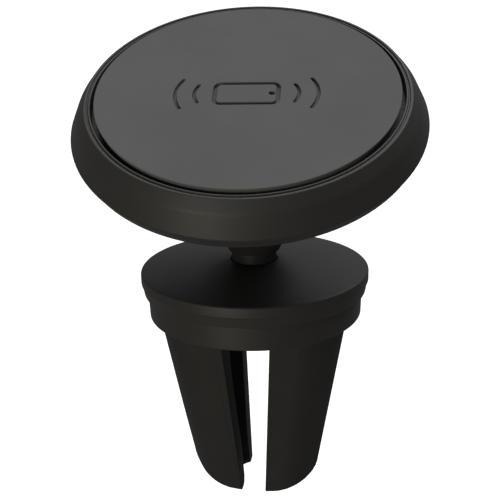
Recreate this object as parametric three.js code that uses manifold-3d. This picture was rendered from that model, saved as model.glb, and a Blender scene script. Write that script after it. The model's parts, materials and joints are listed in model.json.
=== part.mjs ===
// Magnetic phone mount that clips onto a car's air vent. Millimetres, +Z up.
// The origin is on the clip's axis, in the plane of the collar's foot, which comes up
// against the vent. The magnetic head leans towards -Y on its ball joint, swivelled a
// little towards +X, and the clip's two slots run along X and Y. Heights in the constants
// count from the flange's rim, and the last group lifts the whole mount from there.

import * as THREE from 'three';
import { mergeVertices } from 'three/addons/utils/BufferGeometryUtils.js';
import Module from 'manifold-3d';

const wasm = await Module();
wasm.setup();

// Facets round the large turned parts, the ball joint and the small hardware.
const ROUND = 36;
const JOINT_ROUND = 24;
const SMALL_ROUND = 16;
const ARC_STEPS = 4;

// Play between parts that are pressed together, and between parts that slide.
const SEAM = 0.13;
const SLIDE = 0.3;

// Ball joint.
const BALL_HEIGHT = 11;
const BALL_RADIUS = 4;
const BALL_PLAY = 0.12;
const NECK_RADIUS = 2.2;
const SHOULDER_RADIUS = 3.8;
const HEAD_LEAN = THREE.MathUtils.degToRad(26);
const HEAD_SWIVEL = THREE.MathUtils.degToRad(5);

// Magnetic head. Depths are measured from its face, back along its axis.
const FACE_TO_BALL = 12.7;
const HEAD_RADIUS = 20;
const PAD_RADIUS = 16.8;
const PAD_THICKNESS = 1.2;
const ADHESIVE_THICKNESS = 0.2;
const FLOOR_DEPTH = PAD_THICKNESS + ADHESIVE_THICKNESS + 2 * SEAM;
const FLOOR_THICKNESS = 0.7;
const SHELL_DEPTH = 5.2;
const HEAD_DEPTH = 7.9;
const COVER_THICKNESS = 1.15;
const COVER_RADIUS = 18.3;

// Magnets and the steel plate behind them.
const MAGNET_COUNT = 6;
const MAGNET_RADIUS = 4;
const MAGNET_HEIGHT = 2.2;
const MAGNET_CIRCLE = 10.6;
const TRAY_RADIUS = 17.4;
const TRAY_BORE = 4.2;
const YOKE_RADIUS = 16;
const YOKE_THICKNESS = 0.8;
const MAGNET_PLAY = 0.15;
const TRAY_FRONT = FLOOR_DEPTH + FLOOR_THICKNESS + SEAM;
const TRAY_BACK = TRAY_FRONT + MAGNET_HEIGHT + 2 * MAGNET_PLAY;
const YOKE_FRONT = TRAY_BACK + SEAM;
const YOKE_BACK = YOKE_FRONT + YOKE_THICKNESS;
const COVER_INSIDE = HEAD_DEPTH - COVER_THICKNESS;

// Screws that hold the back cover to the shell.
const COVER_SCREW_COUNT = 3;
const COVER_SCREW_CIRCLE = 14.9;
const COVER_SCREW_RADIUS = 0.8;
const COVER_SCREW_HEAD_RADIUS = 1.5;
const COVER_SCREW_HEAD_HEIGHT = 0.8;
const COVER_SCREW_START = 30;
const COVER_SCREW_SEAT = 6.3;
const COVER_SCREW_TIP = 3;
const SHELL_BOSS_RADIUS = 1.7;
const SHELL_BOSS_FOOT = 5.5;
const COVER_BOSS_RADIUS = 2.2;
const COVER_BOSS_TOP = 5.65;

// Hardware on the ball's threaded shank and under the stem: M3 sizes.
const THREAD_RADIUS = 1.5;
const THREAD_PLAY = 0.2;
const NUT_ACROSS_CORNERS = 6.35;
const NUT_HEIGHT = 1.8;
const WASHER_RADIUS = 3.4;
const WASHER_THICKNESS = 0.4;
const STEM_SCREW_HEAD_RADIUS = 2.75;
const STEM_SCREW_HEAD_HEIGHT = 2;
const STEM_SCREW_KEY = 2.9;
const SHANK_TIP_DEPTH = 2.7;
const STUD_WASHER_BACK = YOKE_FRONT - SEAM;
const STUD_NUT_BACK = STUD_WASHER_BACK - WASHER_THICKNESS - SEAM;
const SHOULDER_BACK = COVER_INSIDE - 0.1;
const SHOULDER_FRONT = YOKE_BACK + 0.15;

// Socket that holds the ball, and the stem below it.
const STEM_RADIUS = 2.7;
const STEM_BOTTOM = -2.6;
const BLIND_HOLE_TOP = 3;
const CUP_RADIUS = 5.8;
const CUP_THREAD_RADIUS = 5.15;
const CUP_BORE = 4.67;
const CUP_SHOULDER = 9.05;
const CUP_FLOOR = 6;
const CUP_LIP = 11.7;
const CUP_CONE = 9.25;
const LINER_RADIUS = 4.55;
const LINER_FOOT = -3;
const LINER_RIM = 0.6;
const SOCKET_NUT_TOP = 1.45;
const SOCKET_NUT_LIP = 0.85;
const PRELOAD_PAD_RADIUS = 2.6;

// Base: flange, collar and the hub that carries the clip.
const FLANGE_RADIUS = 13.84;
const FLANGE_FOOT_RADIUS = 13.5;
const FLANGE_BAND = 1.3;
const FLANGE_HEIGHT = 2.57;
const FLANGE_CROWN = 1.06;
const FLANGE_CEILING = -1.3;
const EDGE = 0.3;
const FLANGE_BORE = 12.35;
const COLLAR_RADIUS = 13.05;
const COLLAR_FOOT_RADIUS = 12.95;
const COLLAR_BORE = 12.2;
const COLLAR_FOOT = -5.53;
const HUB_RADIUS = 12.05;
const HUB_TOP = -1.45;
const HUB_FOOT = -3.9;
const HUB_BOSS_RADIUS = 4.6;
const HUB_BOSS_FOOT = -5.4;

// Clip: four rubber legs over four spring arms, parted by two slots that narrow
// downwards, and flattened in front and behind.
const LEG_COUNT = 4;
const LEG_TOP = -4.5;
const LEG_SHOULDER = -25;
const LEG_TIP = -29.1;
const LEG_TIP_RADIUS = 4;
const LEG_RADIUS = 11.8;
const LEG_TAPER = 0.1866;
const LEG_BORE = 4.8;
const SLOT_HALF_WIDTH = 2.95;
const SLOT_TAPER = 0.0635;
const FLAT_HALF_DEPTH = 8.3;
const FLAT_TAPER = 0.178;
const ARM_TOP = -3.1;
const ARM_ROOT_FOOT = -5;
const ARM_TIP = -21;
const ARM_HALF_WIDTH = 1;
const ARM_THICKNESS = 2;
const ARM_TIP_THICKNESS = 1.2;
const ARM_CIRCLE = 8.1;
const ARM_TIP_CIRCLE = 6;
const ARM_ANGLE = THREE.MathUtils.degToRad(38);
const ARM_DIRECTIONS = [ARM_ANGLE, Math.PI - ARM_ANGLE, Math.PI + ARM_ANGLE, -ARM_ANGLE];
const ARM_SOCKET_PLAY = 0.2;

const rubber = { color: 0x3b3a3a, roughness: 0.85, metalness: 0 };
const softPad = { color: 0x565658, roughness: 0.95, metalness: 0 };
const paintedShell = { color: 0x2c2b29, roughness: 0.5, metalness: 0.1 };
const blackPlastic = { color: 0x1b1b1c, roughness: 0.6, metalness: 0 };
const adhesive = { color: 0xcfcfc8, roughness: 0.7, metalness: 0 };
const nickel = { color: 0xb8b8b4, roughness: 0.25, metalness: 1 };
const steel = { color: 0x8d8f92, roughness: 0.35, metalness: 1 };
const nylon = { color: 0xd9d6cb, roughness: 0.6, metalness: 0 };

// ---- Making solids ----

// A turned part: the profile lists [radius, z] anticlockwise, with the axis on the left.
function turned(profile, facets = ROUND, closed = false) {
  const points = profile.map(([radius, z]) => new THREE.Vector2(radius, z));
  if (closed) {
    points.push(points[0].clone());
  }
  const geometry = new THREE.LatheGeometry(points, facets);
  return geometry.rotateX(Math.PI / 2);
}

function disc(radius, bottom, top, facets = ROUND) {
  return turned([[0, bottom], [radius, bottom], [radius, top], [0, top]], facets);
}

function ring(inner, outer, bottom, top, facets = ROUND) {
  return turned([[inner, bottom], [outer, bottom], [outer, top], [inner, top]], facets, true);
}

// Points on an arc about [radius, z], with angles in degrees from the outward direction.
function arc(radius, z, size, from, to, steps = ARC_STEPS) {
  const points = [];
  for (let step = 0; step <= steps; step += 1) {
    const angle = THREE.MathUtils.degToRad(from + (to - from) * step / steps);
    points.push([radius + size * Math.cos(angle), z + size * Math.sin(angle)]);
  }
  return points;
}

// A flat outline of [x, z] points, thickened to both sides along Y.
function slab(outline, halfWidth) {
  const shape = new THREE.Shape(outline.map(([x, z]) => new THREE.Vector2(x, z)));
  const geometry = new THREE.ExtrudeGeometry(shape, { depth: 2 * halfWidth, bevelEnabled: false });
  geometry.translate(0, 0, -halfWidth);
  return geometry.rotateX(Math.PI / 2);
}

function solid(geometry) {
  const bare = geometry.clone();
  bare.deleteAttribute('normal');
  bare.deleteAttribute('uv');
  const merged = mergeVertices(bare, 1e-4);
  const corners = merged.index.array;
  const kept = [];
  for (let i = 0; i < corners.length; i += 3) {
    const [a, b, c] = corners.slice(i, i + 3);
    if (a !== b && b !== c && c !== a) {
      kept.push(a, b, c);
    }
  }
  return new wasm.Manifold(new wasm.Mesh({
    numProp: 3,
    vertProperties: new Float32Array(merged.attributes.position.array),
    triVerts: new Uint32Array(kept),
  }));
}

function geometryOf(body) {
  const mesh = body.getMesh();
  const geometry = new THREE.BufferGeometry();
  geometry.setAttribute('position', new THREE.BufferAttribute(mesh.vertProperties, 3));
  geometry.setIndex(new THREE.BufferAttribute(mesh.triVerts, 1));
  return geometry;
}

function cut(geometry, tools) {
  let body = solid(geometry);
  for (const tool of tools) {
    body = body.subtract(solid(tool));
  }
  return geometryOf(body);
}

// Copies of a tool at equal angles on a circle about the axis.
function around(count, circle, startDegrees, makeTool) {
  const tools = [];
  for (let i = 0; i < count; i += 1) {
    const angle = THREE.MathUtils.degToRad(startDegrees + 360 * i / count);
    tools.push(makeTool().translate(circle * Math.cos(angle), circle * Math.sin(angle), 0));
  }
  return tools;
}

function piece(parent, name, geometry, finish) {
  const mesh = new THREE.Mesh(geometry, new THREE.MeshStandardMaterial(finish));
  mesh.name = name;
  parent.add(mesh);
  return mesh;
}

// ---- Magnetic head, in a frame with the ball's centre at the origin ----

// Height above the ball's centre of a depth behind the face.
function deep(depth) {
  return FACE_TO_BALL - depth;
}

function facePad() {
  return turned([
    [0, deep(PAD_THICKNESS)],
    [PAD_RADIUS, deep(PAD_THICKNESS)],
    [PAD_RADIUS, deep(EDGE)],
    [PAD_RADIUS - EDGE, deep(0)],
    [0, deep(0)],
  ]);
}

function padAdhesive() {
  const front = PAD_THICKNESS + SEAM;
  return disc(PAD_RADIUS - 0.6, deep(front + ADHESIVE_THICKNESS), deep(front));
}

// The shell is a shallow cup, open at the back, with the pad's recess in its face.
function headShell() {
  const underFloor = FLOOR_DEPTH + FLOOR_THICKNESS;
  const body = solid(turned([
    [0, deep(underFloor)],
    [18, deep(underFloor)],
    [18.5, deep(SHELL_DEPTH)],
    [19.2, deep(SHELL_DEPTH)],
    [19.6, deep(4.8)],
    [HEAD_RADIUS, deep(4.15)],
    [18.85, deep(1.5)],
    [17.85, deep(0.3)],
    [17.4, deep(0.2)],
    [17.2, deep(0.4)],
    [17.2, deep(FLOOR_DEPTH)],
    [0, deep(FLOOR_DEPTH)],
  ]));
  const bosses = around(COVER_SCREW_COUNT, COVER_SCREW_CIRCLE, COVER_SCREW_START, () => (
    disc(SHELL_BOSS_RADIUS, deep(SHELL_BOSS_FOOT), deep(underFloor - 0.2), SMALL_ROUND)
  ));
  const threads = around(COVER_SCREW_COUNT, COVER_SCREW_CIRCLE, COVER_SCREW_START, () => (
    disc(COVER_SCREW_RADIUS + THREAD_PLAY, deep(SHELL_BOSS_FOOT + 1), deep(underFloor + 0.4), SMALL_ROUND)
  ));
  const joined = bosses.reduce((sum, boss) => sum.add(solid(boss)), body);
  return geometryOf(threads.reduce((rest, thread) => rest.subtract(solid(thread)), joined));
}

function magnetTray() {
  const back = deep(TRAY_BACK);
  const front = deep(TRAY_FRONT);
  const pockets = around(MAGNET_COUNT, MAGNET_CIRCLE, 0, () => (
    disc(MAGNET_RADIUS + SEAM, back - 1, front + 1, JOINT_ROUND)
  ));
  const bossGaps = around(COVER_SCREW_COUNT, COVER_SCREW_CIRCLE, COVER_SCREW_START, () => (
    disc(SHELL_BOSS_RADIUS + SLIDE, back - 1, front + 1, SMALL_ROUND)
  ));
  return cut(ring(TRAY_BORE, TRAY_RADIUS, back, front), [...pockets, ...bossGaps]);
}

function magnet() {
  const front = TRAY_FRONT + MAGNET_PLAY;
  return disc(MAGNET_RADIUS, deep(front + MAGNET_HEIGHT), deep(front), JOINT_ROUND);
}

function yokePlate() {
  const bossGaps = around(COVER_SCREW_COUNT, COVER_SCREW_CIRCLE, COVER_SCREW_START, () => (
    disc(COVER_BOSS_RADIUS + SLIDE, deep(YOKE_BACK) - 1, deep(YOKE_FRONT) + 1, SMALL_ROUND)
  ));
  const plate = ring(THREAD_RADIUS + SLIDE, YOKE_RADIUS, deep(YOKE_BACK), deep(YOKE_FRONT));
  return cut(plate, bossGaps);
}

function backCover() {
  const hole = NECK_RADIUS + SLIDE;
  const body = solid(turned([
    [hole, deep(HEAD_DEPTH)],
    [9, deep(HEAD_DEPTH)],
    [14.5, deep(7.5)],
    [17.4, deep(6.3)],
    [COVER_RADIUS, deep(5.6)],
    [COVER_RADIUS, deep(SHELL_DEPTH + 0.15)],
    [17.1, deep(SHELL_DEPTH + 0.15)],
    [16.4, deep(YOKE_BACK + 0.1)],
    [13.5, deep(COVER_INSIDE)],
    [hole, deep(COVER_INSIDE)],
  ], ROUND, true));
  const bosses = around(COVER_SCREW_COUNT, COVER_SCREW_CIRCLE, COVER_SCREW_START, () => (
    disc(COVER_BOSS_RADIUS, deep(6.9), deep(COVER_BOSS_TOP), SMALL_ROUND)
  ));
  const bores = around(COVER_SCREW_COUNT, COVER_SCREW_CIRCLE, COVER_SCREW_START, () => (
    disc(COVER_SCREW_RADIUS + THREAD_PLAY, deep(9), deep(5), SMALL_ROUND)
  ));
  const seats = around(COVER_SCREW_COUNT, COVER_SCREW_CIRCLE, COVER_SCREW_START, () => (
    disc(COVER_SCREW_HEAD_RADIUS + THREAD_PLAY, deep(9), deep(COVER_SCREW_SEAT), SMALL_ROUND)
  ));
  const joined = bosses.reduce((sum, boss) => sum.add(solid(boss)), body);
  const holes = [...bores, ...seats];
  return geometryOf(holes.reduce((rest, tool) => rest.subtract(solid(tool)), joined));
}

function coverScrew() {
  const seat = deep(COVER_SCREW_SEAT) - SEAM;
  const headBottom = seat - COVER_SCREW_HEAD_HEIGHT;
  return turned([
    [0, headBottom + 0.3],
    [0.6, headBottom + 0.3],
    [0.7, headBottom],
    [COVER_SCREW_HEAD_RADIUS, headBottom],
    [COVER_SCREW_HEAD_RADIUS, seat],
    [COVER_SCREW_RADIUS, seat],
    [COVER_SCREW_RADIUS, deep(COVER_SCREW_TIP + 0.4)],
    [0, deep(COVER_SCREW_TIP)],
  ], SMALL_ROUND);
}

function buildHead(parent) {
  piece(parent, 'face_pad', facePad(), softPad);
  piece(parent, 'pad_adhesive', padAdhesive(), adhesive);
  piece(parent, 'head_shell', headShell(), paintedShell);
  piece(parent, 'magnet_tray', magnetTray(), blackPlastic);
  around(MAGNET_COUNT, MAGNET_CIRCLE, 0, magnet).forEach((geometry, i) => {
    piece(parent, `magnet_${i + 1}`, geometry, nickel);
  });
  piece(parent, 'yoke_plate', yokePlate(), steel);
  piece(parent, 'back_cover', backCover(), blackPlastic);
  around(COVER_SCREW_COUNT, COVER_SCREW_CIRCLE, COVER_SCREW_START, coverScrew).forEach((geometry, i) => {
    piece(parent, `cover_screw_${i + 1}`, geometry, steel);
  });
}

// ---- Ball stud: ball, neck, shoulder inside the cover, and threaded shank ----

function ballStud() {
  const neckAngle = THREE.MathUtils.radToDeg(Math.acos(NECK_RADIUS / BALL_RADIUS));
  return turned([
    [0, -BALL_RADIUS],
    ...arc(0, 0, BALL_RADIUS, -80, neckAngle, 13),
    [NECK_RADIUS, deep(SHOULDER_BACK)],
    [SHOULDER_RADIUS, deep(SHOULDER_BACK)],
    [SHOULDER_RADIUS, deep(SHOULDER_FRONT)],
    [THREAD_RADIUS, deep(SHOULDER_FRONT)],
    [THREAD_RADIUS, deep(SHANK_TIP_DEPTH + 0.2)],
    [0, deep(SHANK_TIP_DEPTH)],
  ], JOINT_ROUND);
}

function studWasher() {
  const back = deep(STUD_WASHER_BACK);
  return ring(THREAD_RADIUS + THREAD_PLAY, WASHER_RADIUS, back, back + WASHER_THICKNESS, SMALL_ROUND);
}

function studNut() {
  const back = deep(STUD_NUT_BACK);
  const hexagon = disc(NUT_ACROSS_CORNERS / 2, back, back + NUT_HEIGHT, 6);
  const thread = disc(THREAD_RADIUS + THREAD_PLAY, back - 1, back + NUT_HEIGHT + 1, SMALL_ROUND);
  return cut(hexagon, [thread]);
}

function buildStud(parent) {
  piece(parent, 'ball_stud', ballStud(), nickel);
  piece(parent, 'stud_washer', studWasher(), steel);
  piece(parent, 'stud_nut', studNut(), steel);
}

// ---- Socket, in the base's own frame ----

function socketCup() {
  return turned([
    [0, BLIND_HOLE_TOP],
    [THREAD_RADIUS + THREAD_PLAY, BLIND_HOLE_TOP],
    [THREAD_RADIUS + THREAD_PLAY, STEM_BOTTOM],
    [STEM_RADIUS, STEM_BOTTOM],
    [STEM_RADIUS, 2.1],
    [2.95, 2.6],
    [3.75, 3.4],
    [4.75, 4.9],
    [5.4, 6.2],
    [CUP_RADIUS, 7.8],
    [CUP_RADIUS, CUP_SHOULDER],
    [CUP_THREAD_RADIUS, CUP_SHOULDER],
    [CUP_THREAD_RADIUS, CUP_LIP],
    [CUP_BORE, CUP_LIP],
    [CUP_BORE, CUP_CONE],
    [3.3, 7.7],
    [3, CUP_FLOOR],
    [0, CUP_FLOOR],
  ], JOINT_ROUND);
}

function socketNut() {
  const top = BALL_HEIGHT + SOCKET_NUT_TOP;
  const underLip = BALL_HEIGHT + SOCKET_NUT_LIP;
  const bore = CUP_THREAD_RADIUS + BALL_PLAY;
  return turned([
    [bore, CUP_SHOULDER + 0.1],
    [CUP_RADIUS, CUP_SHOULDER + 0.1],
    [CUP_RADIUS, top - 0.25],
    [CUP_RADIUS - 0.25, top],
    [3.9, top],
    [4.08, underLip],
    [bore, underLip],
  ], JOINT_ROUND, true);
}

function socketLiner() {
  const inside = BALL_RADIUS + BALL_PLAY;
  const footAngle = THREE.MathUtils.radToDeg(Math.asin(LINER_FOOT / inside));
  const rimAngle = THREE.MathUtils.radToDeg(Math.asin(LINER_RIM / inside));
  return turned([
    [3.25, BALL_HEIGHT + LINER_FOOT],
    [LINER_RADIUS, BALL_HEIGHT - 1.55],
    [LINER_RADIUS, BALL_HEIGHT + LINER_RIM],
    ...arc(0, BALL_HEIGHT, inside, rimAngle, footAngle, 6),
  ], JOINT_ROUND, true);
}

function preloadPad() {
  const top = BALL_HEIGHT - BALL_RADIUS - BALL_PLAY;
  return disc(PRELOAD_PAD_RADIUS, CUP_FLOOR + 0.1, top, SMALL_ROUND);
}

function buildSocket(parent) {
  piece(parent, 'socket_cup', socketCup(), blackPlastic);
  piece(parent, 'socket_nut', socketNut(), blackPlastic);
  piece(parent, 'preload_pad', preloadPad(), rubber);
  piece(parent, 'socket_liner', socketLiner(), nylon);
}

// ---- Base ----

function baseFlange() {
  const stemHole = STEM_RADIUS + 0.15;
  return turned([
    [stemHole, FLANGE_CEILING],
    [FLANGE_BORE, FLANGE_CEILING],
    [FLANGE_BORE, -FLANGE_HEIGHT],
    [FLANGE_FOOT_RADIUS, -FLANGE_HEIGHT],
    [FLANGE_RADIUS, -FLANGE_BAND],
    [FLANGE_RADIUS, -EDGE],
    [FLANGE_RADIUS - EDGE, 0],
    [9, 0.45],
    [5, 0.85],
    [stemHole, FLANGE_CROWN],
  ], ROUND, true);
}

function collarRing() {
  const top = -FLANGE_HEIGHT - SEAM;
  return turned([
    [COLLAR_BORE, COLLAR_FOOT],
    [COLLAR_FOOT_RADIUS, COLLAR_FOOT],
    [COLLAR_RADIUS, top],
    [COLLAR_BORE, top],
  ], ROUND, true);
}

// The hub fills the flange and the collar, and the spring arms root in its underside.
function clipHub() {
  const stemHole = STEM_RADIUS + 0.15;
  const stemSeat = STEM_BOTTOM - 0.15;
  const step = -FLANGE_HEIGHT - SEAM;
  const body = turned([
    [THREAD_RADIUS + SLIDE, HUB_BOSS_FOOT],
    [HUB_BOSS_RADIUS, HUB_BOSS_FOOT],
    [HUB_BOSS_RADIUS, HUB_FOOT],
    [HUB_RADIUS, HUB_FOOT],
    [HUB_RADIUS, step],
    [COLLAR_BORE, step],
    [COLLAR_BORE, HUB_TOP],
    [stemHole, HUB_TOP],
    [stemHole, stemSeat],
    [THREAD_RADIUS + SLIDE, stemSeat],
  ], ROUND, true);
  const ceiling = ARM_TOP + SLIDE;
  const half = ARM_THICKNESS / 2 + SLIDE;
  const outline = [
    [ARM_CIRCLE - half, HUB_FOOT - 1],
    [ARM_CIRCLE + half, HUB_FOOT - 1],
    [ARM_CIRCLE + half, ceiling],
    [ARM_CIRCLE - half, ceiling],
  ];
  const pockets = ARM_DIRECTIONS.map((direction) => (
    slab(outline, ARM_HALF_WIDTH + SLIDE).rotateZ(direction)
  ));
  return cut(body, pockets);
}

function stemScrew() {
  const seat = HUB_BOSS_FOOT - 2 * SEAM - WASHER_THICKNESS;
  const headFoot = seat - STEM_SCREW_HEAD_HEIGHT;
  const body = turned([
    [0, headFoot],
    [STEM_SCREW_HEAD_RADIUS, headFoot],
    [STEM_SCREW_HEAD_RADIUS, seat],
    [THREAD_RADIUS, seat],
    [THREAD_RADIUS, BLIND_HOLE_TOP - 0.5],
    [0, BLIND_HOLE_TOP - 0.4],
  ], SMALL_ROUND);
  return cut(body, [disc(STEM_SCREW_KEY / 2, headFoot - 1, headFoot + 1.2, 6)]);
}

function stemWasher() {
  const top = HUB_BOSS_FOOT - SEAM;
  return ring(THREAD_RADIUS + SLIDE, WASHER_RADIUS, top - WASHER_THICKNESS, top, SMALL_ROUND);
}

function buildBase(parent) {
  piece(parent, 'base_flange', baseFlange(), paintedShell);
  piece(parent, 'collar_ring', collarRing(), paintedShell);
  piece(parent, 'clip_hub', clipHub(), blackPlastic);
  piece(parent, 'stem_screw', stemScrew(), steel);
  piece(parent, 'stem_washer', stemWasher(), steel);
}

// ---- Clip: arms and legs, one of each to a quarter ----

// The arm's side view as [radius, z], grown all round by the given play.
function armOutline(play, top) {
  const root = ARM_THICKNESS / 2 + play;
  const tip = ARM_TIP_THICKNESS / 2 + play;
  return [
    [ARM_TIP_CIRCLE - tip, ARM_TIP - play],
    [ARM_TIP_CIRCLE + tip, ARM_TIP - play],
    [ARM_CIRCLE + root, ARM_ROOT_FOOT],
    [ARM_CIRCLE + root, top],
    [ARM_CIRCLE - root, top],
    [ARM_CIRCLE - root, ARM_ROOT_FOOT],
  ];
}

function springArm(direction) {
  return slab(armOutline(0, ARM_TOP), ARM_HALF_WIDTH).rotateZ(direction);
}

function legRadius(z) {
  return LEG_RADIUS + LEG_TAPER * (z - COLLAR_FOOT);
}

function slotHalfWidth(z) {
  return SLOT_HALF_WIDTH + SLOT_TAPER * (z - COLLAR_FOOT);
}

// The quarter of space beside the slots, as the outline that bounds it on one side.
function besideSlot() {
  const reach = 16;
  const top = LEG_TOP + 1;
  const bottom = LEG_TIP - 1;
  return [
    [slotHalfWidth(bottom), bottom],
    [reach, bottom],
    [reach, top],
    [slotHalfWidth(top), top],
  ];
}

// The space between the clip's flat front and back, as its outline from the side.
function betweenFlats() {
  const top = LEG_TOP + 1;
  const bottom = LEG_TIP - 1;
  const halfTop = FLAT_HALF_DEPTH + FLAT_TAPER * (top - COLLAR_FOOT);
  const halfBottom = FLAT_HALF_DEPTH + FLAT_TAPER * (bottom - COLLAR_FOOT);
  return [[-halfBottom, bottom], [halfBottom, bottom], [halfTop, top], [-halfTop, top]];
}

function gripLeg(quarter) {
  const shoulder = legRadius(LEG_SHOULDER);
  const tipRound = arc(0, 0, 1, -90, 0, 6).map(([across, down]) => [
    LEG_TIP_RADIUS + (shoulder - LEG_TIP_RADIUS) * across,
    LEG_SHOULDER + (LEG_SHOULDER - LEG_TIP) * down,
  ]);
  const body = solid(turned([
    [2.6, LEG_TIP],
    ...tipRound,
    [legRadius(LEG_TOP), LEG_TOP],
    [LEG_BORE, LEG_TOP],
    [LEG_BORE, -7],
    [4.4, -14],
    [2.6, -24],
    [2.3, -27],
  ], ROUND, true));
  const reach = 20;
  const turn = quarter * Math.PI / 2;
  const bounds = [
    slab(besideSlot(), reach).rotateZ(turn),
    slab(besideSlot(), reach).rotateZ(turn + Math.PI / 2),
    slab(betweenFlats(), reach).rotateZ(Math.PI / 2),
  ];
  const leg = bounds.reduce((rest, bound) => rest.intersect(solid(bound)), body);
  const pocket = slab(armOutline(ARM_SOCKET_PLAY, LEG_TOP + 1), ARM_HALF_WIDTH + ARM_SOCKET_PLAY);
  return geometryOf(leg.subtract(solid(pocket.rotateZ(ARM_DIRECTIONS[quarter]))));
}

function buildClip(parent) {
  for (let k = 0; k < LEG_COUNT; k += 1) {
    piece(parent, `spring_arm_${k + 1}`, springArm(ARM_DIRECTIONS[k]), nylon);
    piece(parent, `grip_leg_${k + 1}`, gripLeg(k), rubber);
  }
}

// ---- Assembly ----

const fromRim = new THREE.Group();
fromRim.position.z = -COLLAR_FOOT;
buildBase(fromRim);
buildSocket(fromRim);
buildClip(fromRim);

const leaningHead = new THREE.Group();
leaningHead.position.z = BALL_HEIGHT;
leaningHead.rotation.set(HEAD_LEAN, 0, HEAD_SWIVEL, 'ZYX');
buildStud(leaningHead);
buildHead(leaningHead);
fromRim.add(leaningHead);

const mount = new THREE.Group();
mount.add(fromRim);

export default mount;
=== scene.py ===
"""The looks of a magnetic phone mount with a vent clip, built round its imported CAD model.

Pieces are shaped in millimetres, in the frame of the head or of the base, and their meshes
are brought to metres and to their place in the row frame at the end.
"""

import json
import math

import bmesh
import bpy
from mathutils import Matrix, Vector


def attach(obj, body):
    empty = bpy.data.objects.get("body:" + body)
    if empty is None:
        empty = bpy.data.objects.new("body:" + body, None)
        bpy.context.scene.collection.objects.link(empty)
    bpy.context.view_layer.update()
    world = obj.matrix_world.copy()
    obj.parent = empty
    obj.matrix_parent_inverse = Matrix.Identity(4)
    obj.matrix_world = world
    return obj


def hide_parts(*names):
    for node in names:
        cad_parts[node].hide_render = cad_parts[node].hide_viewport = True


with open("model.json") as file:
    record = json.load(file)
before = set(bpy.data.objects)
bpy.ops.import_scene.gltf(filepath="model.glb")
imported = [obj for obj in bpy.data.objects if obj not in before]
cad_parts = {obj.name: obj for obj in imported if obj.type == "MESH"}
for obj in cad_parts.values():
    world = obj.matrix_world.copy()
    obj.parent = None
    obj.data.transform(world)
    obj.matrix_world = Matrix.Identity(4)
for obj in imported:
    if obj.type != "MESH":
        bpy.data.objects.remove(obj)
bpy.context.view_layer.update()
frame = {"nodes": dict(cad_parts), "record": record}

MM = 0.001
FACETS = 144
SMALL_FACETS = 64
FULL_TURN = 2 * math.pi
TINY = 1e-4
SMALL_ROUNDING = 0.5
SHARP_ANGLE = math.radians(32)

# ---- Places and sizes taken from the frame ----

JOINTS = {joint["name"]: joint for joint in frame["record"]["behaviour"]["joints"]}
HEAD_AXIS = Vector(JOINTS["head_spin"]["axis"])
BALL_CENTRE = Vector(JOINTS["head_spin"]["pos_m"]) / MM
HEAD_LEAN = Matrix.Rotation(math.atan2(math.hypot(HEAD_AXIS.x, HEAD_AXIS.y), HEAD_AXIS.z), 4, "X")
HEAD_SWIVEL = Matrix.Rotation(math.atan2(HEAD_AXIS.x, -HEAD_AXIS.y), 4, "Z")
HEAD = Matrix.Translation(BALL_CENTRE) @ HEAD_SWIVEL @ HEAD_LEAN
BASE = Matrix.Identity(4)


def points_of(node, place=BASE):
    """A CAD node's corners in millimetres, in the frame that place sets."""
    back = place.inverted()
    return [back @ (v.co / MM) for v in frame["nodes"][node].data.vertices]


def span(node, place=BASE):
    """A CAD node's lowest and highest level and its largest radius about the frame's Z axis."""
    points = points_of(node, place)
    levels = [p.z for p in points]
    return min(levels), max(levels), max(math.hypot(p.x, p.y) for p in points)


def centre(node, place=BASE):
    """The middle of a CAD node's box, in the frame that place sets."""
    points = points_of(node, place)
    low = [min(p[i] for p in points) for i in range(3)]
    high = [max(p[i] for p in points) for i in range(3)]
    return Vector((a + b) / 2 for a, b in zip(low, high))


# ---- Camera ----

CAMERA_DISTANCE = 113.8
CAMERA_AZIMUTH = math.radians(9.4)
CAMERA_ELEVATION = math.radians(19.43)
CAMERA_PITCH = math.radians(1.09)
CAMERA_YAW = math.radians(-0.40)
CAMERA_ROLL = math.radians(-1.30)
CAMERA_LENS = 67.6
FLANGE_CROWN = 1.06


def make_camera():
    """A camera aimed a little above the flange's rim, from in front and above."""
    rim = span("base_flange")[1] - FLANGE_CROWN
    around = Matrix.Rotation(CAMERA_AZIMUTH, 3, "Z")
    reach = CAMERA_DISTANCE * math.cos(CAMERA_ELEVATION)
    place = around @ Vector((0, -reach, CAMERA_DISTANCE * math.sin(CAMERA_ELEVATION)))
    pitch = CAMERA_PITCH - CAMERA_ELEVATION
    ahead = Vector((
        math.sin(CAMERA_YAW) * math.cos(pitch),
        math.cos(CAMERA_YAW) * math.cos(pitch),
        math.sin(pitch),
    ))
    right = ahead.cross(Vector((0, 0, 1))).normalized()
    up = right.cross(ahead)
    level = Matrix((right, up, -ahead)).transposed()
    turned = around @ level @ Matrix.Rotation(CAMERA_ROLL, 3, "Z")
    data = bpy.data.cameras.new("camera")
    data.lens = CAMERA_LENS
    data.clip_start = 0.01
    camera = bpy.data.objects.new("camera", data)
    camera.matrix_world = Matrix.Translation((place + Vector((0, 0, rim))) * MM) @ turned.to_4x4()
    bpy.context.scene.collection.objects.link(camera)
    bpy.context.scene.camera = camera


make_camera()


# ---- Materials ----

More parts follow.
